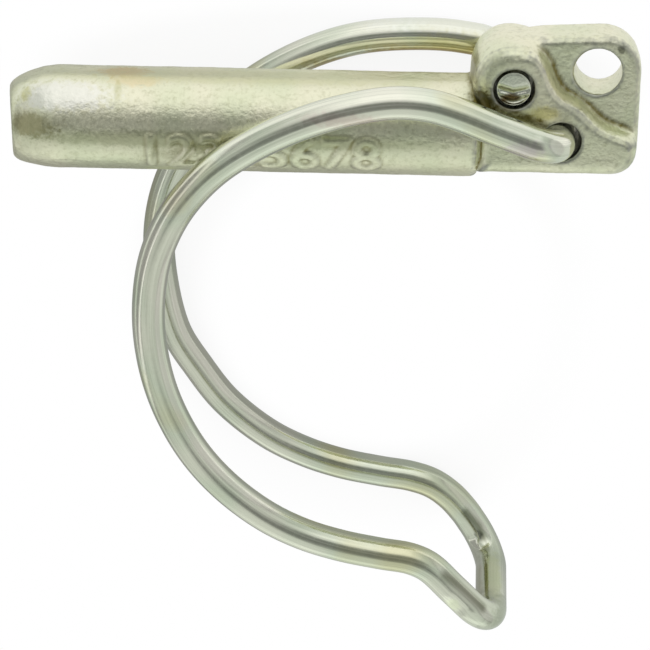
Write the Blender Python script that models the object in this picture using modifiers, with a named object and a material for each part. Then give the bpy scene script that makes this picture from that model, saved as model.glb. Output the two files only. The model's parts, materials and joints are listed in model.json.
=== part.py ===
"""Wire lock pin: a forged pin whose flat head carries one sprung wire bow. Metres, +Z up.

It lies on the lower leg of its bow. +X points from the pin's tip to its head, -Y is where the bow hangs.
Sizes and places are in millimetres, from the middle of the shaft's end at the head.
"""
import math

import bmesh
import bpy
from mathutils import Matrix, Vector

MM = 0.001

# The pin's shaft.
SHAFT_RADIUS = 5.0
SHAFT_LENGTH = 45.04
SHAFT_SIDES = 64
TRIM_ANGLE_DEG = 17.0  # half the width of the flat on each side, where the flash was trimmed off
TIP_SLANT_DEG, TIP_LEAN_DEG = 1.3, 8.0  # the sheared end isn't square: its turn about Z and about Y
TIP_DROP = 0.5  # the nose was drawn down off the shaft's axis
TIP_TAPER = 5.2
# Distance from the tip and how far the nose is drawn in there.
NOSE = [(0.0, 1.58), (0.1, 1.44), (0.35, 1.17), (0.85, 0.86), (1.82, 0.5), (3.27, 0.13), (4.5, 0.01),
        (TIP_TAPER, 0.0)]
# X, and how far the shaft is drawn in where it meets the head.
SHOULDER = [(-0.55, 0.0), (-0.2, 0.1), (0.05, 0.34), (0.16, 0.6)]

# The head: a plate, and a thicker boss on its lower left, the same on both sides.
PLATE_HALF = 2.5
BOSS_HALF = SHAFT_RADIUS - 0.4
HEAD_LEFT, HEAD_RIGHT, HEAD_BOTTOM = -0.12, 15.4, -3.7
HEAD_TOP_LEFT, HEAD_TOP_RIGHT = 9.6, 10.12
TOP_CORNER_RADIUS, BOTTOM_CORNER_RADIUS = 3.6, 2.5
TOP_DIP = [(6.0, 0.07, 4.0), (3.6, -0.27, 2.0)]  # behind the ear: X, Y from the top's left height, radius
PLATE_LEFT_TOP, LEFT_CORNER_RADIUS = 6.0, 0.6
BOSS_STEP_IN = 0.05  # of the boss's outline from the plate's, so that no two walls lie in one plane
SQUARE_CORNER = 1.6  # how far the boss's sides run straight beside its square corner
EAR = (2.95, 5.6, 3.8)  # X, Y, radius of the boss round the first bore
LANYARD_HOLE = (11.36, 6.42, 2.25)  # X, Y, radius
LANYARD_LEAN_DEG = 4.0

# The two bores that carry the wire, both right through the boss.
WIRE_RADIUS = 1.6
BACK_BORE, BACK_BORE_RADIUS = (3.22, 5.16), WIRE_RADIUS + 0.4
FRONT_BORE, FRONT_BORE_RADIUS = (7.8, 0.2), WIRE_RADIUS + 0.48
BORE_SIDES = 40
COUNTERSINK = 0.1  # depth and width of the edge at each face
OVERSHOOT = 1.0  # how far a cutter reaches past what it cuts

# The ridge between the boss and the plate, from the head's right side to the ear.
RIDGE = [(14.0, 0.55), (13.1, 0.88), (12.3, 1.2), (11.7, 1.52), (11.1, 2.02), (10.4, 2.75), (9.65, 3.4),
         (8.8, 3.92), (8.05, 4.32), (7.45, 4.9), (7.0, 5.65)]

# The wire bow: two legs in planes beside the shaft, joined by the cross piece of its nose.
WIRE_SIDES = 18
WIRE_STEP = 1.35  # between the points along the legs
WIRE_END_BEVEL = 0.28  # the cropped ends
LEG_GAP = 0.9  # between a leg and the shaft
LEG_OFFSET = SHAFT_RADIUS + LEG_GAP + WIRE_RADIUS
PEG_REACH = BOSS_HALF - 0.35  # each end stops a little short of the boss's far face
BORE_BEND, BACK_NOSE_BEND, FRONT_NOSE_BEND = 2.4, 3.7, 2.9
BEND_STEPS = 8
FRONT_LEG = [(4.95, 1.05), (1.93, 2.17), (-1.85, 3.66), (-4.7, 4.48), (-7.9, 4.68), (-12.1, 3.95),
             (-16.8, 2.4), (-21.45, 0.05), (-25.3, -2.8), (-28.5, -6.7), (-30.5, -11.2), (-31.3, -16.3),
             (-31.1, -21.2), (-29.9, -26.4), (-27.4, -31.7), (-24.2, -35.75), (-20.1, -39.15),
             (-16.3, -41.15), (-12.4, -42.4), (-8.4, -43.2), (-5.4, -43.7), (-3.5, -44.6),
             (-1.1, -47.0), (0.55, -48.7)]
FRONT_NOSE = (3.0, -51.15)
BACK_LEG = [(0.2, 6.1), (-2.7, 6.5), (-5.9, 6.58), (-10.06, 6.28), (-13.4, 5.55), (-17.4, 3.95),
            (-21.5, 1.5), (-25.3, -1.75), (-28.5, -5.6), (-30.5, -9.7), (-31.5, -14.4), (-31.4, -19.4),
            (-30.0, -25.9), (-27.6, -30.05), (-24.8, -33.85), (-20.5, -37.5), (-16.7, -39.5),
            (-12.8, -40.82), (-8.6, -41.65), (-5.4, -42.15), (-3.1, -42.95), (-1.2, -44.35),
            (0.4, -46.2), (1.6, -48.0)]
BACK_NOSE = (3.35, -50.8)

# From the middle of the shaft's end at the head to the middle of the box round both pieces, on the floor.
TO_FRAME = (15.0634, 21.3635, LEG_OFFSET + WIRE_RADIUS)


def clear_scene():
    for obj in list(bpy.data.objects):
        bpy.data.objects.remove(obj, do_unlink=True)


def material(name, colour, roughness):
    made = bpy.data.materials.new(name)
    made.use_nodes = True
    shader = made.node_tree.nodes["Principled BSDF"]
    shader.inputs["Base Color"].default_value = (*colour, 1.0)
    shader.inputs["Metallic"].default_value = 1.0
    shader.inputs["Roughness"].default_value = roughness
    return made


def object_of(name, bm, collection, smooth=True):
    bmesh.ops.recalc_face_normals(bm, faces=bm.faces[:])
    for face in bm.faces:
        face.smooth = smooth
    mesh = bpy.data.meshes.new(name)
    bm.to_mesh(mesh)
    bm.free()
    made = bpy.data.objects.new(name, mesh)
    collection.objects.link(made)
    return made


def skin(bm, rings):
    """Joins closed rings of points into one capped tube."""
    rows = [[bm.verts.new(Vector(point) * MM) for point in ring] for ring in rings]
    for a, b in zip(rows, rows[1:]):
        for i in range(len(a)):
            j = (i + 1) % len(a)
            bm.faces.new((a[i], a[j], b[j], b[i]))
    bm.faces.new(rows[0][::-1])
    bm.faces.new(rows[-1])


def rounded(corners):
    """A closed outline from corners (x, y, radius), each radius turned into an arc."""
    outline = []
    count = len(corners)
    for i, (x, y, radius) in enumerate(corners):
        here = Vector((x, y))
        before = (Vector(corners[i - 1][:2]) - here).normalized()
        after = (Vector(corners[(i + 1) % count][:2]) - here).normalized()
        if radius <= 0:
            outline.append(here)
            continue
        half = before.angle(after) / 2
        centre = here + (before + after).normalized() * (radius / math.sin(half))
        start = here + before * (radius / math.tan(half)) - centre
        end = here + after * (radius / math.tan(half)) - centre
        turn = start.angle_signed(end)
        steps = max(3, math.ceil(abs(turn) / math.radians(11)))
        for k in range(steps + 1):
            angle = -turn * k / steps
            outline.append(centre + Matrix.Rotation(angle, 2) @ start)
    return outline


def inset_outline(outline, distances):
    """Each point of a closed outline moved inwards along its own normal."""
    area = sum(a.x * b.y - b.x * a.y for a, b in zip(outline, outline[1:] + outline[:1]))
    side = 1 if area > 0 else -1
    moved = []
    for i, point in enumerate(outline):
        along = (outline[(i + 1) % len(outline)] - outline[i - 1]).normalized()
        moved.append(point + Vector((-along.y, along.x)) * side * distances[i])
    return moved


def forging(name, outline, half, levels, collection, ridge=None, foot=()):
    """An outline raised to both sides of the middle plane, with draft and a rounded edge.

    levels holds (height, inset) up to the flat. Where ridge is 1, the rows of foot take the place of them.
    """
    ridge = ridge or [0.0] * len(outline)
    rows = []
    for index, (height, inset) in enumerate(levels):
        low, edge = foot[index] if index < len(foot) else (height, inset)
        insets = [inset * (1 - share) + edge * share for share in ridge]
        heights = [height * (1 - share) + low * share for share in ridge]
        points = inset_outline(outline, insets)
        rows.append([(p.x, p.y, z) for p, z in zip(points, heights)])
    lower = [[(x, y, -z) for x, y, z in row] for row in reversed(rows)]
    bm = bmesh.new()
    skin(bm, lower + rows)
    assert abs(rows[-1][0][2] - half) < 1e-6
    return object_of(name, bm, collection)


def bore_cutter(name, centre, radius, half, collection):
    """A turned cutter for a bore with a small countersink at both faces."""
    end, edge = half + OVERSHOOT, half - COUNTERSINK
    wide = radius + COUNTERSINK + OVERSHOOT
    bm = bmesh.new()
    profile = [bm.verts.new(Vector((x, 0, z)) * MM)
               for x, z in ((0, end), (wide, end), (radius, edge), (radius, -edge), (wide, -end), (0, -end))]
    for a, b in zip(profile, profile[1:]):
        bm.edges.new((a, b))
    mesh = bpy.data.meshes.new(name)
    bm.to_mesh(mesh)
    bm.free()
    made = bpy.data.objects.new(name, mesh)
    collection.objects.link(made)
    screw = made.modifiers.new("turn", "SCREW")
    screw.steps = screw.render_steps = BORE_SIDES
    screw.use_merge_vertices = True
    screw.merge_threshold = 1e-6
    made.location = Vector((*centre, 0)) * MM
    return made


def boolean(target, other, operation):
    other.hide_render = True
    other.display_type = "WIRE"
    modifier = target.modifiers.new(other.name, "BOOLEAN")
    modifier.operation = operation
    modifier.solver = "EXACT"
    modifier.object = other


def trimmed_circle(radius):
    """A circle in the YZ plane with the flat that trimming left on each side."""
    flat = radius * math.cos(math.radians(TRIM_ANGLE_DEG))
    for k in range(SHAFT_SIDES):
        angle = 2 * math.pi * (k + 0.5) / SHAFT_SIDES
        yield max(-flat, min(flat, radius * math.cos(angle))), radius * math.sin(angle)


def shaft(collection):
    """Sections along X. Those of the nose are drawn in and down, and slanted to make the end."""
    slant, lean = math.tan(math.radians(TIP_SLANT_DEG)), math.tan(math.radians(TIP_LEAN_DEG))
    profile = [(along - SHAFT_LENGTH, drawn, 1 - along / TIP_TAPER) for along, drawn in NOSE]
    profile += [(-SHAFT_LENGTH * share, 0.0, 0.0) for share in (0.66, 0.33)]
    profile += [(x, drawn, 0.0) for x, drawn in SHOULDER]
    rings = [[(x + share * (lean * z - slant * y), y - TIP_DROP * share ** 2, z)
              for y, z in trimmed_circle(SHAFT_RADIUS - drawn)] for x, drawn, share in profile]
    bm = bmesh.new()
    skin(bm, rings)
    return object_of("lock_pin", bm, collection)


def head_plate(collection):
    corners = [(HEAD_LEFT, HEAD_BOTTOM, LEFT_CORNER_RADIUS), (HEAD_RIGHT, HEAD_BOTTOM, BOTTOM_CORNER_RADIUS),
               (HEAD_RIGHT, HEAD_TOP_RIGHT, TOP_CORNER_RADIUS)]
    corners += [(x, HEAD_TOP_LEFT + rise, radius) for x, rise, radius in TOP_DIP]
    corners += [(HEAD_LEFT, PLATE_LEFT_TOP, LEFT_CORNER_RADIUS)]
    levels = [(0.25, 0.0), (1.75, 0.06), (2.12, 0.16), (2.37, 0.34), (PLATE_HALF, 0.62)]
    return forging("head_plate", rounded(corners), PLATE_HALF, levels, collection)


def boss_outline():
    """The boss's outline and, for each of its points, whether it lies on the ridge."""
    bottom, right = HEAD_BOTTOM + BOSS_STEP_IN, HEAD_RIGHT - BOSS_STEP_IN
    corner = [(right - BOTTOM_CORNER_RADIUS * (1 - math.sin(math.radians(a))),
               bottom + BOTTOM_CORNER_RADIUS * (1 - math.cos(math.radians(a)))) for a in range(0, 91, 13)]
    points = [(HEAD_LEFT, bottom), (HEAD_LEFT + SQUARE_CORNER, bottom)]
    points += [(HEAD_LEFT + (HEAD_RIGHT - HEAD_LEFT) * share, bottom) for share in (0.33, 0.6)] + corner
    points += [(right, -0.95), (right, -0.4), (right - 0.12, -0.02), (14.9, 0.22), (14.45, 0.4)]
    ridge = [0.0] * (len(points) - 2) + [0.45, 0.9]
    points += RIDGE
    ridge += [1.0] * len(RIDGE)
    cx, cy, radius = EAR
    for angle in range(14, 195, 12):
        turn = math.radians(angle)
        points.append((cx + radius * math.cos(turn), cy + radius * math.sin(turn)))
        ridge.append(max(0.0, min(1.0, (78 - angle) / 24)))
    points += [(-0.62, 4.1), (-0.36, 3.5), (HEAD_LEFT, 2.8), (HEAD_LEFT, 0.0)]
    points += [(HEAD_LEFT, bottom + SQUARE_CORNER)]
    ridge += [0.0] * 5
    return [Vector(p) for p in points], ridge


def head_boss(collection):
    outline, ridge = boss_outline()
    levels = [(BOSS_HALF * share, inset) for share, inset in
              ((0.05, 0.0), (0.5, 0.1), (0.6, 0.14), (0.8, 0.24), (0.895, 0.47), (0.965, 0.85), (1, 1.35))]
    foot = [(PLATE_HALF + (BOSS_HALF - PLATE_HALF) * share, inset) for share, inset in
            ((-1.07, -0.45), (-0.05, -0.5), (0.06, -0.33), (0.26, -0.12), (0.6, 0.06), (0.87, 0.32),
             (1, 0.75))]
    return forging("head_boss", outline, BOSS_HALF, levels, collection, ridge, foot)


def smooth_path(points, step):
    """Points close together on a centripetal spline through the given ones."""
    points = [Vector(p) for p in points]
    points = [points[0] * 2 - points[1]] + points + [points[-1] * 2 - points[-2]]
    path = []
    for p0, p1, p2, p3 in zip(points, points[1:], points[2:], points[3:]):
        t1 = (p1 - p0).length ** 0.5
        t2 = t1 + (p2 - p1).length ** 0.5
        t3 = t2 + (p3 - p2).length ** 0.5
        pieces = max(1, round((p2 - p1).length / step))
        for k in range(pieces):
            t = t1 + (t2 - t1) * k / pieces
            a1 = p0 * ((t1 - t) / t1) + p1 * (t / t1)
            a2 = p1 * ((t2 - t) / (t2 - t1)) + p2 * ((t - t1) / (t2 - t1))
            a3 = p2 * ((t3 - t) / (t3 - t2)) + p3 * ((t - t2) / (t3 - t2))
            b1 = a1 * ((t2 - t) / t2) + a2 * (t / t2)
            b2 = a2 * ((t3 - t) / (t3 - t1)) + a3 * ((t - t1) / (t3 - t1))
            path.append(b1 * ((t2 - t) / (t2 - t1)) + b2 * ((t - t1) / (t2 - t1)))
    path.append(points[-2])
    return path


def bend(before, corner, after, radius):
    """The arc that rounds a corner between two straight runs."""
    a, b = (before - corner).normalized(), (after - corner).normalized()
    half = a.angle(b) / 2
    centre = corner + (a + b).normalized() * (radius / math.sin(half))
    start = corner + a * (radius / math.tan(half)) - centre
    end = corner + b * (radius / math.tan(half)) - centre
    axis = start.cross(end).normalized()
    turn = start.angle(end)
    return [centre + Matrix.Rotation(turn * k / BEND_STEPS, 3, axis) @ start for k in range(BEND_STEPS + 1)]


def wire_path():
    """The wire's centre line, from the end in the back bore to the end in the front bore."""
    low, high = -LEG_OFFSET, LEG_OFFSET
    back_end = Vector((*BACK_BORE, PEG_REACH))
    back_corner, back_nose = Vector((*BACK_BORE, low)), Vector((*BACK_NOSE, low))
    front_nose, front_corner = Vector((*FRONT_NOSE, high)), Vector((*FRONT_BORE, high))
    front_end = Vector((*FRONT_BORE, -PEG_REACH))
    back = [Vector((x, y, low)) for x, y in smooth_path(BACK_LEG, WIRE_STEP)]
    front = [Vector((x, y, high)) for x, y in smooth_path(FRONT_LEG, WIRE_STEP)][::-1]
    path = [back_end] + bend(back_end, back_corner, back[0], BORE_BEND) + back
    path += bend(back[-1], back_nose, front_nose, BACK_NOSE_BEND)
    path += bend(back_nose, front_nose, front[0], FRONT_NOSE_BEND)
    path += front + bend(front[-1], front_corner, front_end, BORE_BEND) + [front_end]
    return path


def wire_bow(collection):
    """A round wire along its centre line, made a mesh so that its cropped ends can be bevelled."""
    path = wire_path()
    curve = bpy.data.curves.new("wire_bow", "CURVE")
    curve.dimensions = "3D"
    curve.bevel_depth = WIRE_RADIUS * MM
    curve.bevel_resolution = WIRE_SIDES // 2 - 2
    curve.use_fill_caps = True
    axis = Vector((*FRONT_BORE, 0)) * MM
    spline = curve.splines.new("POLY")
    spline.points.add(len(path) - 1)
    for point, place in zip(spline.points, path):
        point.co = (*(place * MM - axis), 1.0)
    drawn = bpy.data.objects.new("wire_curve", curve)
    collection.objects.link(drawn)
    mesh = bpy.data.meshes.new_from_object(drawn.evaluated_get(bpy.context.evaluated_depsgraph_get()))
    bpy.data.objects.remove(drawn, do_unlink=True)
    bm = bmesh.new()
    bm.from_mesh(mesh)
    bpy.data.meshes.remove(mesh)
    bmesh.ops.remove_doubles(bm, verts=bm.verts[:], dist=1e-6)
    made = object_of("wire_bow", bm, collection)
    made.location = axis
    ends = made.modifiers.new("cropped_ends", "BEVEL")
    ends.limit_method = "ANGLE"
    ends.angle_limit = math.radians(60)
    ends.width = WIRE_END_BEVEL * MM
    ends.segments = 1
    return made


def main():
    clear_scene()
    scene = bpy.context.scene
    parts = bpy.data.collections.new("wire_lock_pin")
    cutters = bpy.data.collections.new("cutters")
    for collection in (parts, cutters):
        scene.collection.children.link(collection)

    pin = shaft(parts)
    for added in (head_plate(cutters), head_boss(cutters)):
        boolean(pin, added, "UNION")
    lanyard_hole = bore_cutter("lanyard_hole", LANYARD_HOLE[:2], LANYARD_HOLE[2], PLATE_HALF, cutters)
    lanyard_hole.rotation_euler.y = -math.radians(LANYARD_LEAN_DEG)
    for hole in (bore_cutter("back_bore", BACK_BORE, BACK_BORE_RADIUS, BOSS_HALF, cutters),
                 bore_cutter("front_bore", FRONT_BORE, FRONT_BORE_RADIUS, BOSS_HALF, cutters), lanyard_hole):
        boolean(pin, hole, "DIFFERENCE")
    bow = wire_bow(parts)

    pin.data.materials.append(material("yellow_zinc_forging", (0.62, 0.62, 0.48), 0.42))
    bow.data.materials.append(material("zinc_spring_wire", (0.66, 0.67, 0.58), 0.25))

    for piece in list(parts.objects) + list(cutters.objects):
        piece.location += Vector(TO_FRAME) * MM


main()
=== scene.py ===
"""The looks of a wire lock pin: a matt zinc-plated forging and a glossy bow of sprung wire.

Pin points are in millimetres from the middle of the shaft's end at the head: +X to the head, +Y up in the
photograph, +Z towards its camera. The frame is in metres, with +Z up from the floor.
"""
import json
import math

import bmesh
import bpy
import numpy as np
from mathutils import Matrix, Vector
from mathutils.bvhtree import BVHTree
from mathutils.noise import fractal


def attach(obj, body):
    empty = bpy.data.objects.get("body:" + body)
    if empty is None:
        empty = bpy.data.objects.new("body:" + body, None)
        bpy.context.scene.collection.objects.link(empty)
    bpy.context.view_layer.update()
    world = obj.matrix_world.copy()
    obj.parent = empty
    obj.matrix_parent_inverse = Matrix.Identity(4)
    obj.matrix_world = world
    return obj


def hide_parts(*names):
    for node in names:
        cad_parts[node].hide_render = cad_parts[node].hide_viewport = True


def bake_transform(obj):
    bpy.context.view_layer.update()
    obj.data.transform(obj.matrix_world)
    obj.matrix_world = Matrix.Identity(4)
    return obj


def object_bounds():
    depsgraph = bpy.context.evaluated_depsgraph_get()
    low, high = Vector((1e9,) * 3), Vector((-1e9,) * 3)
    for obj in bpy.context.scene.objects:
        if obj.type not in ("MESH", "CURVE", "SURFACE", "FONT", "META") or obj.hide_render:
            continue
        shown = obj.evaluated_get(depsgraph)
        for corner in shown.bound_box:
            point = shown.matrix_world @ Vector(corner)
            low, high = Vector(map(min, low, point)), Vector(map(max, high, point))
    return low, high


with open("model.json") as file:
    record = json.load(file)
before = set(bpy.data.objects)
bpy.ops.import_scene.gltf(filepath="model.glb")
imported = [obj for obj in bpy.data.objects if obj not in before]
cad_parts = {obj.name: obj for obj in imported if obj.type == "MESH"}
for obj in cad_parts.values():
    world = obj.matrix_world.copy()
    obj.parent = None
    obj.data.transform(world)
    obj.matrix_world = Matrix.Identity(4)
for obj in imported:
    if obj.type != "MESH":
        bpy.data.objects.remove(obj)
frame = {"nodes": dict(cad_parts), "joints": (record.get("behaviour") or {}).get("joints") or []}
cad_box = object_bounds()

MM = 0.001

# The wire, whose route follows its solid's
WIRE_RADIUS = 1.6
WIRE_SIDES = 48
WIRE_STEP = 0.32  # from one ring of points to the next along the wire
BEND_FINENESS, BEND_STEPS_MIN = 1.6, 6  # how much closer they are in a bend, and how many it has at least
DRAWN_LENGTH = 50  # how many times as long as wide the drawing lines are
LEG_OFFSET = 7.5
PEG_REACH = 4.25
BACK_BORE, FRONT_BORE = (3.22, 5.16), (7.8, 0.2)
FRONT_PEG = (7.63, 0.27)  # the front end leans on its bore's left side
BORE_BEND, BACK_NOSE_BEND, FRONT_NOSE_BEND = 2.4, 3.7, 3.2
FRONT_LEG = [(4.95, 1.05), (1.93, 2.17), (-1.85, 3.66), (-4.7, 4.48), (-7.9, 4.68), (-12.1, 3.95),
             (-16.8, 2.4), (-21.45, 0.05), (-25.3, -2.8), (-28.5, -6.7), (-30.5, -11.2), (-31.3, -16.3),
             (-31.1, -21.2), (-29.9, -26.4), (-27.4, -31.7), (-24.2, -35.75), (-20.1, -39.15),
             (-16.3, -41.15), (-12.4, -42.4), (-8.4, -43.2), (-5.4, -43.7), (-3.5, -44.6),
             (-1.1, -47.0), (0.55, -48.7)]
FRONT_NOSE = (3.0, -51.15)
BACK_LEG = [(0.2, 6.1), (-2.7, 6.5), (-5.9, 6.58), (-10.06, 6.28), (-13.4, 5.55), (-17.4, 3.95),
            (-21.5, 1.5), (-25.3, -1.75), (-28.5, -5.6), (-30.5, -9.7), (-31.5, -14.4), (-31.4, -19.4),
            (-30.0, -25.9), (-27.6, -30.05), (-24.8, -33.85), (-20.5, -37.5), (-16.7, -39.5),
            (-12.8, -40.82), (-8.6, -41.65), (-5.4, -42.15), (-3.1, -42.95), (-1.2, -44.35),
            (0.4, -46.2), (1.2, -47.4)]
BACK_NOSE = (3.35, -50.8)
BEND_FROM_X, BEND_TO_X = -24.0, 1.2  # the stretch of the back leg from the end of its root piece towards the nose

# Flats that the bending tool left: a place on the centre line, the way it faces, its depth and half length
MARK_FACING = (-0.48, 0.07, 0.87)
TOOL_MARKS = [((-0.3, -47.8, 7.5), MARK_FACING, 0.30, 1.7),
              ((2.1, -48.85, -7.23), MARK_FACING, 0.06, 0.6),
              ((-24.2, -2.0, 7.5), (0.3, 0.6, 0.74), 0.06, 0.4)]
MARK_RUN_OUT = 2.2  # a flat is at its full depth up to where 1 / 2.2 of its half length is left

# The cropped ends of the wire: a dish, and below its crease a lip and then a step
RIM_SHARE, RIM_DEPTH = 0.985, 0.12  # of the radius, and in millimetres
CROP_RINGS = (1.0, RIM_SHARE, 0.93, 0.86, 0.78, 0.7, 0.6, 0.5, 0.4, 0.3, 0.2, 0.1, 0.03)
CROP_EDGE = 0.1  # the share of the radius over which the face reaches its depth
CREASE_DROP, CREASE_SIDE, CREASE_SLOPE = 0.48, 0.1, 0.28
DISH_DEPTH, DISH_REACH = 0.20, 0.9
LIP_FROM, LIP_WIDTH, LIP_HEIGHT = 0.02, 0.22, 0.26
STEP_FROM, STEP_WIDTH, STEP_DEPTH = 0.32, 0.5, 0.45

# The forging
PIN_VOXEL = 0.175
SHAFT_RADIUS = 5.0
SHAFT_SKIN = 0.5  # how far below its radius a point of the mesh still is on the shaft's surface
HEAD_FROM_X = -0.5
SEEN_BORES = [(3.24, 5.20, 1.93), (7.9, 0.07, 1.87)]  # X, Y, radius, as the photograph shows them
SOLID_BORES = [(*BACK_BORE, 2.0), (*FRONT_BORE, 2.08)]
DARK_FROM, DARK_TO = 0.05, -0.01  # where a seen bore's dark begins and is whole, from its radius
BORE_REACH, BORE_FADE = 3.4, 1.2  # how far from its axis a bore draws the metal, and over what width less
WAVE_FINENESS, WAVE_HEIGHT = 0.35, 0.035  # the forging's uneven skin: hills in a millimetre, their height
GRAIN_FINENESS, GRAIN_HEIGHT = 1.9, 0.014
SKIN_DEPTH = 0.02  # the skin lies this much lower, so that its hills stay near the solid
# The skin is darker where its surroundings stand above it by so much, and has painted shade on its edges
# where they lie below it
HOLLOW_FROM, HOLLOW_SPAN = 0.012, 0.035
EDGE_FROM, EDGE_SPAN = 0.014, 0.025
SHAFT_HOLLOW_SHARE = 0.45  # the shaft's share of the darkening in hollows

# Plain numbers in relief, where the photographed shaft has text
NUMBERS = "12345678"
NUMBERS_FROM_X, NUMBERS_TO_X = -31.4, -9.3
NUMBERS_ANGLE_DEG = -21.0  # their middle, round the shaft from +Z towards +Y
NUMBERS_HEIGHT = 3.9
NUMBERS_RELIEF, NUMBERS_EDGE = 0.22, 0.25
CAPITAL_SHARE = 0.72  # a figure's height as a share of the font's size

# Dark streaks, painted shade beside the wire on the forging and a painted dark reflection on the wire, as
# lines of pin points on the surface, each with its half width
WIRE_PAINTED_REFLECTION_STREAKS = [([(-1.9, -44.9, 8.6), (-0.35, -46.0, 8.7), (0.9, -47.2, 8.7), (2.1, -48.5, 8.6)], 0.6),
                ([(0.45, -45.5, -6.0), (1.9, -47.2, -6.05), (2.4, -48.3, -5.7)], 0.5)]
PIN_PAINTED_SHADE_STREAKS = [([(-23.6, -0.6, 4.95), (-24.9, -1.6, 4.75), (-26.4, -2.7, 4.2)], 0.38),
               ([(0.6, 3.7, 4.4), (2.0, 3.2, 4.6), (3.6, 2.8, 4.6), (6.2, 1.8, 4.6)], 0.5)]
STREAK_REACH = 1.3  # in half widths: a streak fades out there, and is whole up to 1 less

# Spots of colour, later ones over earlier ones: stains, and painted highlights, reflections and shade where
# marked: a pin point, half sizes, colour from 0 to 255, strength
PIN_STAINS_AND_PAINTED_LIGHT = [
    # Painted highlight: a whiter patch on the shaft's upper side by the tip.
    ((-40.0, 3.4, 3.6), (6.5, 1.8, 2.4), (240, 240, 234), 0.7),
    ((-34.0, 4.8, 0.4), (3.2, 0.9, 1.7), (212, 178, 118), 0.6),
    ((-32.6, 4.4, 2.0), (3.2, 1.0, 1.0), (230, 214, 170), 0.65),
    ((-34.3, 3.9, 3.1), (0.45, 1.7, 1.4), (190, 190, 138), 0.35),
    ((-43.3, 3.7, 3.2), (0.9, 1.4, 1.2), (190, 190, 120), 0.7),
    ((-42.4, 0.5, 4.2), (3.2, 1.6, 1.9), (128, 130, 84), 0.5),
    ((6.2, 2.9, 4.6), (1.8, 0.9, 1.0), (188, 180, 104), 0.6),
    ((3.5, 2.3, 4.5), (2.6, 0.5, 1.0), (150, 146, 84), 0.7),
    ((0.2, 3.6, 4.3), (2.0, 2.2, 2.6), (84, 78, 36), 0.95),
    ((-0.6, 6.2, 2.0), (0.9, 2.6, 2.4), (150, 146, 110), 0.7),
    # Painted reflection: darker olive bands along the shaft, in its mirrored dark band and on its upper
    # flat, which mirrors the shaded floor.
    ((-24.0, -0.35, 5.0), (26.0, 1.2, 1.2), (150, 154, 116), 0.6),
    ((-21.0, 4.9, 1.0), (25.0, 0.9, 2.4), (196, 196, 152), 0.5),
    ((-44.0, 0.7, 4.4), (6.0, 1.5, 1.4), (158, 152, 112), 0.55),
    # Painted shade: darker olive on the shaft beside the wire.
    ((-25.3, -3.0, 4.0), (1.4, 1.0, 1.0), (140, 132, 84), 0.6),
    ((14.9, -3.0, 2.2), (1.3, 1.5, 1.6), (126, 136, 134), 0.6),
    ((13.3, 8.7, 2.4), (0.5, 0.5, 0.6), (90, 90, 72), 0.7)]
# Tints on the wire, with painted highlights, reflections and shade where marked.
WIRE_TINTS_AND_PAINTED_LIGHT = [
    ((4.4, 0.9, 8.2), (2.6, 1.3, 2.0), (204, 188, 204), 0.5),
    ((-12.5, 3.4, 8.4), (5.0, 1.0, 1.5), (212, 188, 182), 0.5),
    # Painted highlight: whiter along the back leg's upper side; painted shade: olive along its lower side.
    ((-3.0, 7.6, -7.6), (11.0, 1.6, 2.4), (234, 236, 226), 0.8),
    ((-4.0, 5.3, -6.5), (9.0, 0.9, 1.3), (206, 190, 118), 0.75),
    ((-4.5, 5.0, -6.8), (9.0, 0.6, 0.9), (150, 130, 62), 0.85),
    ((-14.0, 3.7, -6.7), (5.0, 1.1, 1.2), (176, 160, 96), 0.7),
    ((-28.5, -3.4, 8.0), (3.0, 5.0, 2.0), (206, 202, 196), 0.4),
    # Painted reflections on the nose's cross piece: a dark olive line, a yellow-green band beside it and a
    # greyer side.
    ((2.62, -49.4, 1.4), (0.26, 0.9, 6.6), (104, 100, 42), 0.9),
    ((3.4, -49.4, 1.0), (1.1, 1.2, 7.0), (206, 210, 150), 0.4),
    ((1.9, -50.6, 1.0), (0.7, 1.4, 7.5), (186, 184, 150), 0.5),
    ((2.7, -49.6, -4.8), (0.8, 0.8, 0.9), (176, 180, 146), 0.8),
    ((2.0, -49.4, -6.6), (0.5, 0.6, 0.45), (112, 112, 82), 0.8),
    # Painted shade: greyer on the nose's outer corner.
    ((3.2, -51.0, 5.5), (3.2, 2.4, 4.0), (164, 168, 150), 0.65),
    ((-0.9, -48.1, 8.6), (1.0, 0.9, 1.0), (244, 248, 220), 0.8),
    ((2.9, 4.2, 4.2), (1.3, 0.65, 0.8), (104, 84, 42), 0.95)]
SPOT_OUTSIDE, SPOT_INSIDE = 1.05, 0.45  # where a spot begins and is whole, as shares of its half sizes

# The photograph's camera
CAMERA_TILT, CAMERA_YAW, CAMERA_ROLL = math.radians(24.34), math.radians(1.52), math.radians(0.70)
CAMERA_AIM = Vector((-14.42, -21.56, 0.0))
CAMERA_DISTANCE = 274.0
PICTURE_SIDE = 650
FOCAL_PIXELS = 2747.0
SENSOR = 36.0

# Tints of the light
WHITE, GREENISH, GREENER, WARM = (1.0, 1.0, 1.0), (0.95, 1.0, 0.95), (0.96, 1.0, 0.94), (1.0, 0.95, 0.76)

# What the metal mirrors across the shaft: degrees from straight up towards the far side, brightness, tint
LIGHT_ACROSS = [
    (-180, 0.50, WHITE), (-100, 0.62, GREENER), (-88, 0.95, GREENISH), (-72, 0.95, GREENISH),
    (-58, 0.70, GREENISH), (-36, 0.66, GREENISH), (-25, 0.66, GREENISH), (-14, 0.24, GREENISH),
    (-6, 0.20, GREENISH), (7, 0.20, GREENISH), (11, 0.34, WHITE), (15, 0.20, GREENISH),
    (26, 0.22, GREENISH), (38, 0.78, WHITE), (47, 1.08, WHITE), (92, 1.12, WHITE)]
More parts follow.
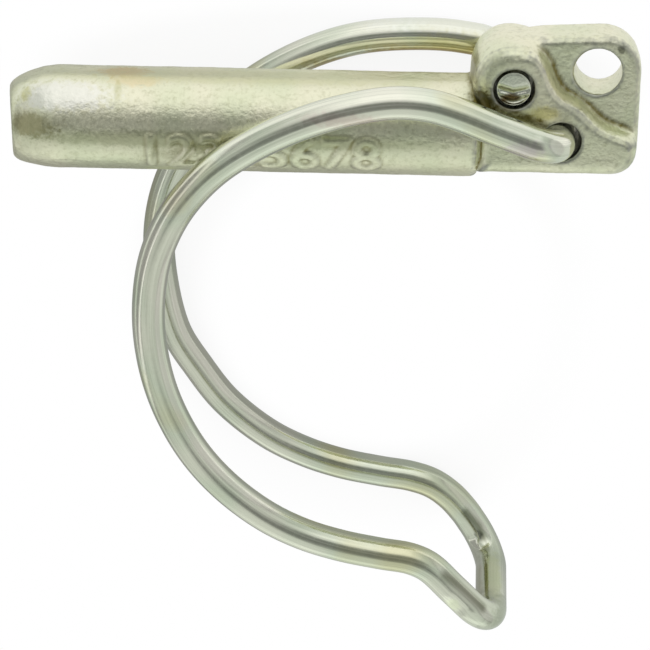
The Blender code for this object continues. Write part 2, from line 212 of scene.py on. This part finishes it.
# The same along the shaft: a place from 0 on the tip's side to 1 on the head's side, brightness, tint
LIGHT_ALONG = [
    (0.0, 0.36, WHITE), (0.07, 0.36, WHITE), (0.09, 1.0, WHITE), (0.12, 1.0, WHITE), (0.14, 0.34, WHITE),
    (0.18, 0.60, GREENISH), (0.5, 0.64, GREENISH), (0.82, 0.60, GREENISH), (0.86, 0.42, WHITE),
    (0.885, 0.64, WHITE), (0.91, 0.64, WHITE), (0.94, 0.58, WHITE), (1.0, 0.58, WHITE)]
ALONG_FROM, ALONG_TO = 0.30, 0.55  # a direction's share along the shaft where the second list takes over
SOFT_LIGHT = 1.23  # on all that isn't mirrored

# The floor
FLOOR_HALF_SIDE = 1.5
FLOOR_PAINT = 0.82
NEAR_FLOOR, FAR_FLOOR = 0.72, 1.0  # its brightness in the metal, in front of and behind the pin
FAR_FROM_Y, FAR_TO_Y = 10.0, 38.0  # in millimetres in the frame
# Darker ellipses on it that only the metal mirrors: middle, half sizes, strength, brightness, tint
MIRRORED_SHADES = [((-16, -6), (46, 14), 0.7, 0.42, WARM),
                   ((-50, -34), (75, 62), 0.8, 0.26, WHITE),
                   ((1, -54), (14, 10), 0.6, 0.30, WHITE)]
SHADE_CORE = 0.45  # the evenly dark share of each of them
# Ellipses where the camera sees some of the floor's real shadow: middle, half sizes, evenly dark share
SHAFT_SHADOW = ((-14, 1), (34, 9), 0.7)
BOW_SHADOW, BOW_OPENING = ((-11, -24), (26, 28), 0.8), ((-9, -22), (20, 20), 0.8)
SHADOW_STRENGTH = 0.13

HINGE = Vector(frame["joints"][0]["pos_m"])  # on the front bore's axis, halfway through the forging
TO_FRAME = HINGE / MM - Vector((*FRONT_BORE, 0.0))  # from pin points to the frame


def in_frame(point):
    """A pin point as a place in the frame."""
    return (Vector(point) + TO_FRAME) * MM


def in_box(points):
    """Pin points, kept inside the box that the solids fill."""
    low, high = (np.array(corner) / MM - np.array(TO_FRAME) for corner in cad_box)
    return np.clip(points, low, high)


# Shader nodes

def linear(*colour):
    """A colour given as 0 to 255 in sRGB, as the shader wants it."""
    shares = [value / 255 for value in colour]
    return (*(s / 12.92 if s <= 0.04045 else ((s + 0.055) / 1.055) ** 2.4 for s in shares), 1.0)


def grey(value, tint=WHITE):
    return (*(value * share for share in tint), 1.0)


class Nodes:
    """A node tree with short calls to add and join nodes."""

    def __init__(self, tree):
        self.tree = tree
        tree.nodes.clear()

    def add(self, kind, inputs=None, **settings):
        made = self.tree.nodes.new("ShaderNode" + kind)
        for key, value in settings.items():
            setattr(made, key, value)
        for key, value in (inputs or {}).items():
            self.put(made.inputs[key], value)
        return made

    def put(self, socket, value):
        if isinstance(value, bpy.types.NodeSocket):
            self.tree.links.new(value, socket)
        elif isinstance(value, bpy.types.Node):
            self.tree.links.new(value.outputs[0], socket)
        else:
            socket.default_value = value

    def math(self, operation, a, b=0.0, c=0.0, clamp=False):
        return self.add("Math", {0: a, 1: b, 2: c}, operation=operation, use_clamp=clamp).outputs[0]

    def map_range(self, value, low, high, to_low=0.0, to_high=1.0, smooth=False):
        """to_low where the value is at low, to_high where it is at high, and no further on either side."""
        return self.add("MapRange", {0: value, 1: low, 2: high, 3: to_low, 4: to_high},
                        interpolation_type="SMOOTHSTEP" if smooth else "LINEAR").outputs[0]

    def ramp(self, factor, stops):
        made = self.add("ValToRGB", {0: factor})
        elements = made.color_ramp.elements
        while len(elements) < len(stops):
            elements.new(0.5)
        for element, (position, colour) in zip(elements, stops):
            element.position = position
            element.color = colour
        return made.outputs[0]

    def mix(self, factor, a, b, blend="MIX"):
        made = self.add("Mix", data_type="RGBA", blend_type=blend)
        for index, value in ((0, factor), (6, a), (7, b)):
            self.put(made.inputs[index], value)
        return made.outputs[2]

    def mix_shaders(self, factor, a, b):
        return self.add("MixShader", {0: factor, 1: a, 2: b})

    def noise(self, vector, scale, detail=1.0, roughness=0.5):
        return self.add("TexNoise", {"Vector": vector, "Scale": scale, "Detail": detail,
                                     "Roughness": roughness}).outputs[0]

    def bump(self, height, strength, millimetres):
        return self.add("Bump", {"Strength": strength, "Distance": millimetres * MM, "Height": height})

    def stored(self, name, output="Fac"):
        """What the mesh keeps for each of its vertices under a name."""
        return self.add("Attribute", attribute_name=name).outputs[output]

    def distance(self, place, centre, half_sizes=(1, 1, 1)):
        """From a pin point, with 1 at these half sizes; a half size of 0 leaves that way out."""
        scale = tuple(1 / (size * MM) if size else 0.0 for size in half_sizes)
        away = self.add("VectorMath", {0: place, 1: in_frame(centre)}, operation="SUBTRACT")
        scaled = self.add("VectorMath", {0: away, 1: scale}, operation="MULTIPLY")
        return self.add("VectorMath", {0: scaled}, operation="LENGTH").outputs["Value"]

    def ellipse(self, place, middle, half_sizes, core):
        """1 in the middle of an ellipse on the floor, up to core of its size, and down to 0 at its edge."""
        away = self.distance(place, (*middle, 0), (*half_sizes, 0))
        return self.map_range(away, 1.0, core, smooth=True)


# Camera, light and floor

def make_camera():
    towards = Vector((math.sin(CAMERA_YAW) * math.cos(CAMERA_TILT), math.sin(CAMERA_TILT),
                      math.cos(CAMERA_YAW) * math.cos(CAMERA_TILT)))
    side = Vector((0, 1, 0)).cross(towards).normalized()
    up = towards.cross(side)
    side, up = (side * math.cos(CAMERA_ROLL) + up * math.sin(CAMERA_ROLL),
                up * math.cos(CAMERA_ROLL) - side * math.sin(CAMERA_ROLL))
    data = bpy.data.cameras.new("camera")
    data.sensor_width = SENSOR
    data.lens = SENSOR * FOCAL_PIXELS / PICTURE_SIDE
    data.clip_start, data.clip_end = 0.01, 10.0
    camera = bpy.data.objects.new("camera", data)
    bpy.context.scene.collection.objects.link(camera)
    camera.matrix_world = (Matrix.Translation(in_frame(CAMERA_AIM + towards * CAMERA_DISTANCE))
                           @ Matrix((side, up, towards)).transposed().to_4x4())
    bpy.context.scene.camera = camera


def make_world():
    """A studio: dark over the camera, a long soft light on the far side, paler walls on the near one."""
    world = bpy.data.worlds.new("studio")
    bpy.context.scene.world = world
    world.use_nodes = True
    n = Nodes(world.node_tree)
    x, y, z = n.add("SeparateXYZ", {0: n.add("TexCoord").outputs["Generated"]}).outputs
    lean = n.math("ARCTAN2", y, z)  # from straight up, towards the far side
    across = n.ramp(n.math("MULTIPLY_ADD", lean, 0.5 / math.pi, 0.5),
                    [(0.5 + degrees / 360, grey(value, tint)) for degrees, value, tint in LIGHT_ACROSS])
    along = n.ramp(n.math("MULTIPLY_ADD", x, 0.5, 0.5),
                   [(position, grey(value, tint)) for position, value, tint in LIGHT_ALONG])
    studio = n.mix(n.map_range(n.math("ABSOLUTE", x), ALONG_FROM, ALONG_TO), across, along)
    rays = n.add("LightPath").outputs
    soft = n.add("Background", {"Color": grey(1.0), "Strength": SOFT_LIGHT})
    mirrored = n.add("Background", {"Color": studio, "Strength": 1.0})
    seen = n.add("Background", {"Color": grey(1.0), "Strength": 1.0})
    straight_on = n.math("MAXIMUM", rays["Is Camera Ray"], rays["Is Transmission Ray"])
    light = n.mix_shaders(rays["Is Glossy Ray"], soft, mirrored)
    n.add("OutputWorld", {0: n.mix_shaders(straight_on, light, seen)})


def floor_material():
    """White with a hint of shadow to the camera, shaded where the metal mirrors it, pale to the rest."""
    made = bpy.data.materials.new("pale_floor")
    made.use_nodes = True
    n = Nodes(made.node_tree)
    rays = n.add("LightPath").outputs
    place = n.add("TexCoord").outputs["Object"]
    y = n.add("SeparateXYZ", {0: place}).outputs[1]
    far_side = n.map_range(y, FAR_FROM_Y * MM, FAR_TO_Y * MM, smooth=True)
    look = n.mix(far_side, grey(NEAR_FLOOR, GREENISH), grey(FAR_FLOOR))
    for middle, half_sizes, strength, value, tint in MIRRORED_SHADES:
        shade = n.ellipse(place, middle, half_sizes, SHADE_CORE)
        look = n.mix(n.math("MULTIPLY", shade, strength), look, grey(value, tint))
    bow, opening = n.ellipse(place, *BOW_SHADOW), n.ellipse(place, *BOW_OPENING)
    under_bow = n.math("SUBTRACT", bow, opening, clamp=True)
    shadow = n.math("MAXIMUM", n.ellipse(place, *SHAFT_SHADOW), under_bow)
    paint = n.add("BsdfDiffuse", {"Color": grey(FLOOR_PAINT)})
    white = n.add("Emission", {"Color": grey(1.0), "Strength": 1.0})
    mirrored = n.add("Emission", {"Color": look, "Strength": 1.0})
    seen = n.mix_shaders(n.math("MULTIPLY_ADD", shadow, -SHADOW_STRENGTH, 1.0), paint, white)
    matt = n.mix_shaders(rays["Is Camera Ray"], paint, seen)
    in_metal = n.math("MAXIMUM", rays["Is Glossy Ray"], rays["Is Transmission Ray"])
    n.add("OutputMaterial", {0: n.mix_shaders(in_metal, matt, mirrored)})
    return made


def make_floor():
    bm = bmesh.new()
    bmesh.ops.create_grid(bm, x_segments=1, y_segments=1, size=FLOOR_HALF_SIDE)
    mesh = bpy.data.meshes.new("floor")
    bm.to_mesh(mesh)
    bm.free()
    mesh.materials.append(floor_material())
    floor = bpy.data.objects.new("floor", mesh)
    bpy.context.scene.collection.objects.link(floor)


# Materials

def metal(name):
    made = bpy.data.materials.new(name)
    made.use_nodes = True
    n = Nodes(made.node_tree)
    shader = n.add("BsdfPrincipled", {"Metallic": 1.0})
    n.add("OutputMaterial", {0: shader})
    place = n.add("TexCoord").outputs["Object"]
    return made, n, shader, place


def spotted(n, place, colour, spots, wobble):
    """The colour with spots over it, stains or painted light, whose edges are as ragged as wobble makes
    them.
    """
    for centre, half_sizes, tint, strength in spots:
        away = n.math("ADD", n.distance(place, centre, half_sizes), wobble)
        spot = n.map_range(away, SPOT_OUTSIDE, SPOT_INSIDE, smooth=True)
        colour = n.mix(n.math("MULTIPLY", spot, strength), colour, linear(*tint))
    return colour


def darkened_bores(n, place, colour):
    """The colour, nearly black within the bores that the photograph shows."""
    for x, y, radius in SEEN_BORES:
        away = n.distance(place, (x, y, 0), (1, 1, 0))
        inside = n.map_range(away, radius + DARK_FROM, radius + DARK_TO)
        colour = n.mix(inside, colour, linear(16, 15, 10))
    return colour


def forging_material():
    """Matt, grainy yellow-passivated zinc with a few stains, painted highlights, reflections and shade,
    darker in its hollows.
    """
    made, n, shader, place = metal("zinc_forging")
    speckle = n.noise(place, 1900, detail=2.0, roughness=0.65)
    grain = n.noise(place, 3000, roughness=0.65)
    clouds = n.noise(place, 210)
    wobble = n.math("MULTIPLY", n.math("SUBTRACT", speckle, 0.5), 1.1)
    pale, greenish, olive = linear(236, 234, 208), linear(216, 224, 190), linear(148, 148, 104)
    colour = n.mix(n.map_range(clouds, 0.38, 0.68, to_high=0.55), pale, greenish)
    colour = n.mix(n.map_range(speckle, 0.50, 0.72, to_high=0.26), colour, olive)
    colour = spotted(n, place, colour, PIN_STAINS_AND_PAINTED_LIGHT, wobble)
    # Painted shade: greyer on the head's rounded edges.
    colour = n.mix(n.math("MULTIPLY", n.stored("edge"), 0.7), colour, linear(132, 134, 134))
    # Darker and olive in hollows.
    colour = n.mix(n.stored("hollow"), colour, linear(124, 116, 66))
    # Painted shade: darker olive-brown along the streaks beside the wire.
    ragged = n.math("MULTIPLY_ADD", wobble, -1.2, 0.75)
    dark = n.math("MULTIPLY", n.stored("painted_dark_streak"), ragged, clamp=True)
    colour = n.mix(dark, colour, linear(92, 82, 38))
    height = n.math("ADD", speckle, grain)
    n.put(shader.inputs["Base Color"], darkened_bores(n, place, colour))
    n.put(shader.inputs["Roughness"], n.map_range(grain, 0.3, 0.7, 0.30, 0.42))
    n.put(shader.inputs["Normal"], n.bump(height, 0.26, 0.12))
    return made


def wire_material():
    """Glossy zinc-plated spring wire, with drawing lines along it, faint tints, and painted highlights,
    reflections and shade.
    """
    made, n, shader, place = metal("zinc_wire")
    drawn = n.noise(n.stored("lengthwise", "Vector"), 4600, roughness=0.6)
    drift = n.noise(place, 110)
    fine = n.noise(place, 1700)
    wobble = n.math("MULTIPLY", n.math("SUBTRACT", fine, 0.5), 0.6)
    pale, green, yellow = linear(236, 236, 220), linear(214, 224, 202), linear(220, 211, 158)
    colour = n.mix(n.map_range(drift, 0.40, 0.54, to_high=0.6), pale, green)
    colour = n.mix(n.map_range(drift, 0.55, 0.68, to_high=0.5), colour, yellow)
    colour = n.mix(0.55, colour, n.map_range(drawn, 0.30, 0.55, to_low=0.78), "MULTIPLY")
    colour = spotted(n, place, colour, WIRE_TINTS_AND_PAINTED_LIGHT, wobble)
    # Painted reflection: darker along the streaks, where the wire mirrors the studio's dark band.
    colour = n.mix(n.math("MULTIPLY", n.stored("painted_dark_streak"), 0.72), colour, linear(100, 106, 76))
    height = n.math("MULTIPLY_ADD", fine, 0.35, drawn)
    n.put(shader.inputs["Base Color"], colour)
    n.put(shader.inputs["Roughness"], n.map_range(fine, 0.3, 0.7, 0.13, 0.21))
    n.put(shader.inputs["Normal"], n.bump(height, 0.16, 0.04))
    return made


# Meshes

def piece_of(name, mesh, material):
    for polygon in mesh.polygons:
        polygon.use_smooth = True
    mesh.materials.clear()
    mesh.materials.append(material)
    made = bpy.data.objects.new(name, mesh)
    bpy.context.scene.collection.objects.link(made)
    return made


def mark(mesh, name, shares):
    """Keeps a share from 0 to 1 for each vertex, which the material reads."""
    values = np.clip(shares, 0, 1).astype(np.float32)
    mesh.attributes.new(name, "FLOAT", "POINT").data.foreach_set("value", values)


def streaked(points, streaks):
    """1 on the dark streaks, fading to 0 beside them."""
    shares = np.zeros(len(points))
    for line, half_width in streaks:
        for a, b in zip(np.array(line), np.array(line)[1:]):
            t = np.clip((points - a) @ (b - a) / ((b - a) @ (b - a)), 0, 1)
            away = np.linalg.norm(points - a - t[:, None] * (b - a), axis=1)
            shares = np.maximum(shares, np.clip(STREAK_REACH - away / half_width, 0, 1))
    return shares


def remeshed(mesh):
    """The mesh in small even squares, with its corners a little softer."""
    holder = bpy.data.objects.new("holder", mesh)
    bpy.context.scene.collection.objects.link(holder)
    remesh = holder.modifiers.new("remesh", "REMESH")
    remesh.mode = "VOXEL"
    remesh.voxel_size = PIN_VOXEL * MM
    smooth = holder.modifiers.new("smooth", "SMOOTH")
    smooth.factor, smooth.iterations = 0.5, 4
    graph = bpy.context.evaluated_depsgraph_get()
    made = bpy.data.meshes.new_from_object(holder.evaluated_get(graph))
    bpy.data.objects.remove(holder)
    return made


def points_of(mesh):
    points = np.empty(len(mesh.vertices) * 3, np.float64)
    mesh.vertices.foreach_get("co", points)
    return points.reshape(-1, 3) / MM - np.array(TO_FRAME)


def set_points(mesh, points):
    placed = (in_box(points) + np.array(TO_FRAME)) * MM
    mesh.vertices.foreach_set("co", placed.astype(np.float32).ravel())
    mesh.update()


def normals_of(mesh):
    normals = np.empty(len(mesh.vertices) * 3, np.float64)
    mesh.vertices.foreach_get("normal", normals)
    return normals.reshape(-1, 3)


def neighbours(mesh):
    """Both ends of each edge, and how many edges each vertex has."""
    edges = np.empty(len(mesh.edges) * 2, np.int64)
    mesh.edges.foreach_get("vertices", edges)
    return edges[0::2], edges[1::2], np.bincount(edges, minlength=len(mesh.vertices))[:, None]


def averaged(points, links, rounds):
    """The points moved halfway to the middle of their neighbours, a few times over."""
    a, b, count = links
    for _ in range(rounds):
        total = np.zeros_like(points)
        np.add.at(total, a, points[b])
        np.add.at(total, b, points[a])
        points = 0.5 * points + 0.5 * total / count
    return points


# The forging

def numbers_tree():
    """Plain numbers, laid out flat: X along the shaft, Y round it, both in millimetres."""
    curve = bpy.data.curves.new("numbers", "FONT")
    curve.body = NUMBERS
    curve.size = NUMBERS_HEIGHT / CAPITAL_SHARE
    curve.resolution_u = 4
    text = bpy.data.objects.new("numbers", curve)
    bpy.context.scene.collection.objects.link(text)
    bpy.context.view_layer.update()
    mesh = bpy.data.meshes.new_from_object(text.evaluated_get(bpy.context.evaluated_depsgraph_get()))
    bpy.data.objects.remove(text)
    corners = np.array([v.co[:2] for v in mesh.vertices])
    faces = [tuple(p.vertices) for p in mesh.polygons]
    bpy.data.meshes.remove(mesh)
    low, high = corners.min(axis=0), corners.max(axis=0)
    stretch = np.array((NUMBERS_TO_X - NUMBERS_FROM_X, NUMBERS_HEIGHT)) / (high - low)
    flat = (corners - low) * stretch + (NUMBERS_FROM_X, -NUMBERS_HEIGHT / 2)
    return BVHTree.FromPolygons([Vector((x, y, 0)) for x, y in flat], faces)


def number_relief(points):
    """How far each point of the shaft is lifted by the numbers."""
    lift = np.zeros(len(points))
    tree = numbers_tree()
    radial = np.hypot(points[:, 1], points[:, 2])
    angle = np.arctan2(points[:, 1], points[:, 2])
    round_shaft = (angle - math.radians(NUMBERS_ANGLE_DEG)) * SHAFT_RADIUS
    near = ((points[:, 0] > NUMBERS_FROM_X - NUMBERS_EDGE) & (points[:, 0] < NUMBERS_TO_X + NUMBERS_EDGE)
            & (radial > SHAFT_RADIUS - SHAFT_SKIN) & (np.abs(round_shaft) < NUMBERS_HEIGHT))
    for i in np.nonzero(near)[0]:
        away = tree.find_nearest(Vector((points[i, 0], round_shaft[i], 0)), NUMBERS_EDGE)[3]
        if away is not None:
            t = 1 - min(1.0, away / NUMBERS_EDGE)
            lift[i] = NUMBERS_RELIEF * t * t * (3 - 2 * t)
    return lift


def with_seen_bores(points):
    """The bores' walls and rims, drawn in to the sizes and places that the photograph shows."""
    flat = points[:, :2]
    for solid, seen in zip(SOLID_BORES, SEEN_BORES):
        centre = np.array(solid[:2])
        away = flat - centre
        length = np.hypot(away[:, 0], away[:, 1])[:, None]
        share = np.clip((BORE_REACH - length) / BORE_FADE, 0, 1)
        drawn = centre + away * (1 - share * (solid[2] - seen[2]) / np.maximum(length, 1))
        drawn += share * (np.array(seen[:2]) - centre)
        flat = np.where(length < BORE_REACH, drawn, flat)
    return np.column_stack([flat, points[:, 2]])


def hills(points, fineness, height):
    """Soft random hills: how many in a millimetre, and how high."""
    return np.array([fractal(Vector(p) * fineness, 1.0, 2.0, 2) for p in points]) * height


def make_pin(material):
    mesh = remeshed(frame["nodes"]["lock_pin"].data.copy())
    normals, links = normals_of(mesh), neighbours(mesh)
    points = with_seen_bores(points_of(mesh))
    waves, grain = hills(points, WAVE_FINENESS, WAVE_HEIGHT), hills(points, GRAIN_FINENESS, GRAIN_HEIGHT)
    relief = averaged(number_relief(points)[:, None], links, rounds=1)
    points = points + normals * ((waves + grain - SKIN_DEPTH)[:, None] + relief)
    set_points(mesh, points)
    rise = np.einsum("ij,ij->i", averaged(points, links, rounds=8) - points, normals_of(mesh))
    on_head = points[:, 0] > HEAD_FROM_X
    mark(mesh, "hollow", (rise - HOLLOW_FROM) / HOLLOW_SPAN * np.where(on_head, 1.0, SHAFT_HOLLOW_SHARE))
    mark(mesh, "edge", (-rise - EDGE_FROM) / EDGE_SPAN * on_head)
    mark(mesh, "painted_dark_streak", streaked(points, PIN_PAINTED_SHADE_STREAKS))
    pin = piece_of("pin_forging", mesh, material)
    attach(pin, "pin")
    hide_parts("lock_pin")


# The wire

def smooth_path(points):
    """Points WIRE_STEP apart on a centripetal spline through the given ones."""
    points = [Vector(p) for p in points]
    points = [points[0] * 2 - points[1]] + points + [points[-1] * 2 - points[-2]]
    path = []
    for p0, p1, p2, p3 in zip(points, points[1:], points[2:], points[3:]):
        t1 = (p1 - p0).length ** 0.5
        t2 = t1 + (p2 - p1).length ** 0.5
        t3 = t2 + (p3 - p2).length ** 0.5
        pieces = max(1, round((p2 - p1).length / WIRE_STEP))
        for k in range(pieces):
            t = t1 + (t2 - t1) * k / pieces
            a1 = p0 * ((t1 - t) / t1) + p1 * (t / t1)
            a2 = p1 * ((t2 - t) / (t2 - t1)) + p2 * ((t - t1) / (t2 - t1))
            a3 = p2 * ((t3 - t) / (t3 - t2)) + p3 * ((t - t2) / (t3 - t2))
            b1 = a1 * ((t2 - t) / t2) + a2 * (t / t2)
            b2 = a2 * ((t3 - t) / (t3 - t1)) + a3 * ((t - t1) / (t3 - t1))
            path.append(b1 * ((t2 - t) / (t2 - t1)) + b2 * ((t - t1) / (t2 - t1)))
    path.append(points[-2])
    return path


def bend(before, corner, after, radius):
    """The arc that rounds a corner between two straight runs."""
    a, b = (before - corner).normalized(), (after - corner).normalized()
    half = a.angle(b) / 2
    centre = corner + (a + b).normalized() * (radius / math.sin(half))
    start = corner + a * (radius / math.tan(half)) - centre
    end = corner + b * (radius / math.tan(half)) - centre
    axis = start.cross(end).normalized()
    turn = start.angle(end)
    steps = max(BEND_STEPS_MIN, round(radius * turn / WIRE_STEP * BEND_FINENESS))
    return [centre + Matrix.Rotation(turn * k / steps, 3, axis) @ start for k in range(steps + 1)]


def between(a, b):
    """The points of a straight run, without its ends."""
    steps = max(1, round((b - a).length / WIRE_STEP))
    return [a.lerp(b, k / steps) for k in range(1, steps)]


def wire_path():
    """The centre line, from the end in the back bore to the end in the front bore."""
    low, high = -LEG_OFFSET, LEG_OFFSET
    back_end, front_end = Vector((*BACK_BORE, PEG_REACH)), Vector((*FRONT_PEG, -PEG_REACH))
    back_corner, back_nose = Vector((*BACK_BORE, low)), Vector((*BACK_NOSE, low))
    front_nose, front_corner = Vector((*FRONT_NOSE, high)), Vector((*FRONT_PEG, high))
    back = [Vector((x, y, low)) for x, y in smooth_path(BACK_LEG)]
    front = [Vector((x, y, high)) for x, y in smooth_path(FRONT_LEG)][::-1]
    path = [back_end]
    for run in (bend(back_end, back_corner, back[0], BORE_BEND), back,
                bend(back[-1], back_nose, front_nose, BACK_NOSE_BEND),
                bend(back_nose, front_nose, front[0], FRONT_NOSE_BEND), front,
                bend(front[-1], front_corner, front_end, BORE_BEND), [front_end]):
        path += between(path[-1], run[0]) + run
    return path


def rings_along(path):
    """A ring of points round each point of the path, without twist, and its place along the wire."""
    normal = Vector((1, 0, 0))
    angles = [2 * math.pi * k / WIRE_SIDES for k in range(WIRE_SIDES)]
    rings, lengths, length = [], [], 0.0
    for i, point in enumerate(path):
        before, after = path[max(i - 1, 0)], path[min(i + 1, len(path) - 1)]
        ahead = (after - before).normalized()
        normal = (normal - ahead * normal.dot(ahead)).normalized()
        across = ahead.cross(normal)
        length += (point - before).length
        rings.append([point + (normal * math.cos(a) + across * math.sin(a)) * WIRE_RADIUS for a in angles])
        lengths.append(length)
    return np.array(rings), np.array(lengths)


def pressed(rings, path):
    """The rings with the tool's flats: what stands out past each flat goes back to it."""
    path = np.array(path)
    for place, facing, depth, half_length in TOOL_MARKS:
        facing = np.array(Vector(facing).normalized())
        along = np.linalg.norm(path - np.array(place), axis=1) / half_length
        flat = WIRE_RADIUS - depth * np.clip(MARK_RUN_OUT * (1 - along), 0, 1)
        beyond = np.maximum((rings - path[:, None]) @ facing - flat[:, None], 0)
        rings = np.where((along < 1)[:, None, None], rings - facing * beyond[..., None], rings)
    return rings


def face_depth(x, y):
    """How deep a cropped end's face is at a place on it."""
    above = y + CREASE_DROP - CREASE_SLOPE * np.abs(x + CREASE_SIDE)
    dish = DISH_DEPTH * np.clip(1 - above / DISH_REACH, 0, 1) ** 2
    lip = LIP_HEIGHT * np.clip(-(above + LIP_FROM) / LIP_WIDTH, 0, 1)
    step = STEP_DEPTH * np.clip(-(above + STEP_FROM) / STEP_WIDTH, 0, 1)
    return dish - lip + step


def cropped_end(ring, inwards):
    """Rings that close the wire's end: a small edge, then the stepped face that the cutter left."""
    centre = ring.mean(axis=0)
    rows = []
    for share in CROP_RINGS:
        away = (ring - centre) * share
        depth = face_depth(away[:, 0], away[:, 1]) * min(1.0, (1 - share) / CROP_EDGE)
        if share == RIM_SHARE:
            depth += RIM_DEPTH
        rows.append(centre + away + inwards * np.maximum(depth, 0)[:, None])
    return np.array(rows)


def wire_piece(name, rings, lengths, material):
    """The tube over some rings, with its lengthwise places kept for the material."""
    bm = bmesh.new()
    rows = [[bm.verts.new(in_frame(p)) for p in ring] for ring in rings]
    for a, b in zip(rows, rows[1:]):
        for i in range(WIRE_SIDES):
            j = (i + 1) % WIRE_SIDES
            bm.faces.new((a[i], a[j], b[j], b[i]))
    for row in (rows[0][::-1], rows[-1]):
        for edge in bm.faces.new(row).edges:
            edge.smooth = False
    bmesh.ops.recalc_face_normals(bm, faces=bm.faces[:])
    mesh = bpy.data.meshes.new(name)
    bm.to_mesh(mesh)
    bm.free()
    turn = 2 * np.pi * np.arange(WIRE_SIDES) / WIRE_SIDES
    radii = np.linalg.norm(rings - rings.mean(axis=1, keepdims=True), axis=2).mean(axis=1)[:, None]
    places = np.zeros((len(rings), WIRE_SIDES, 3), np.float32)
    places[:, :, 0], places[:, :, 1] = np.cos(turn) * radii * MM, np.sin(turn) * radii * MM
    places[:, :, 2] = lengths[:, None] * MM / DRAWN_LENGTH
    mesh.attributes.new("lengthwise", "FLOAT_VECTOR", "POINT").data.foreach_set("vector", places.ravel())
    mark(mesh, "painted_dark_streak", streaked(rings.reshape(-1, 3), WIRE_PAINTED_REFLECTION_STREAKS))
    return piece_of(name, mesh, material)


def make_wire(material):
    """The wire in two pieces: the back leg's root and the rest."""
    path = wire_path()
    rings, lengths = rings_along(path)
    rings = in_box(pressed(rings, path))
    cut = next(i for i, p in enumerate(path) if p.x < BEND_FROM_X)
    back_end = cropped_end(rings[0], np.array((0, 0, -1.0)))[::-1]
    front_end = cropped_end(rings[-1], np.array((0, 0, 1.0)))
    root_rings = np.concatenate([back_end, rings[1:cut + 1]])
    root_lengths = np.concatenate([np.zeros(len(back_end)), lengths[1:cut + 1]])
    bow_rings = np.concatenate([rings[cut:-1], front_end])
    bow_lengths = np.concatenate([lengths[cut:-1], np.full(len(front_end), lengths[-1])])
    root = wire_piece("wire_back_root", root_rings, root_lengths, material)
    bow = wire_piece("wire_bow_round", bow_rings, bow_lengths, material)
    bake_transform(root)
    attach(bow, "bow")
    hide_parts("wire_bow")
    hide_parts("wire_bow")


make_camera()
make_world()
make_floor()
make_pin(forging_material())
make_wire(wire_material())

bpy.context.scene.view_settings.view_transform = "Standard"
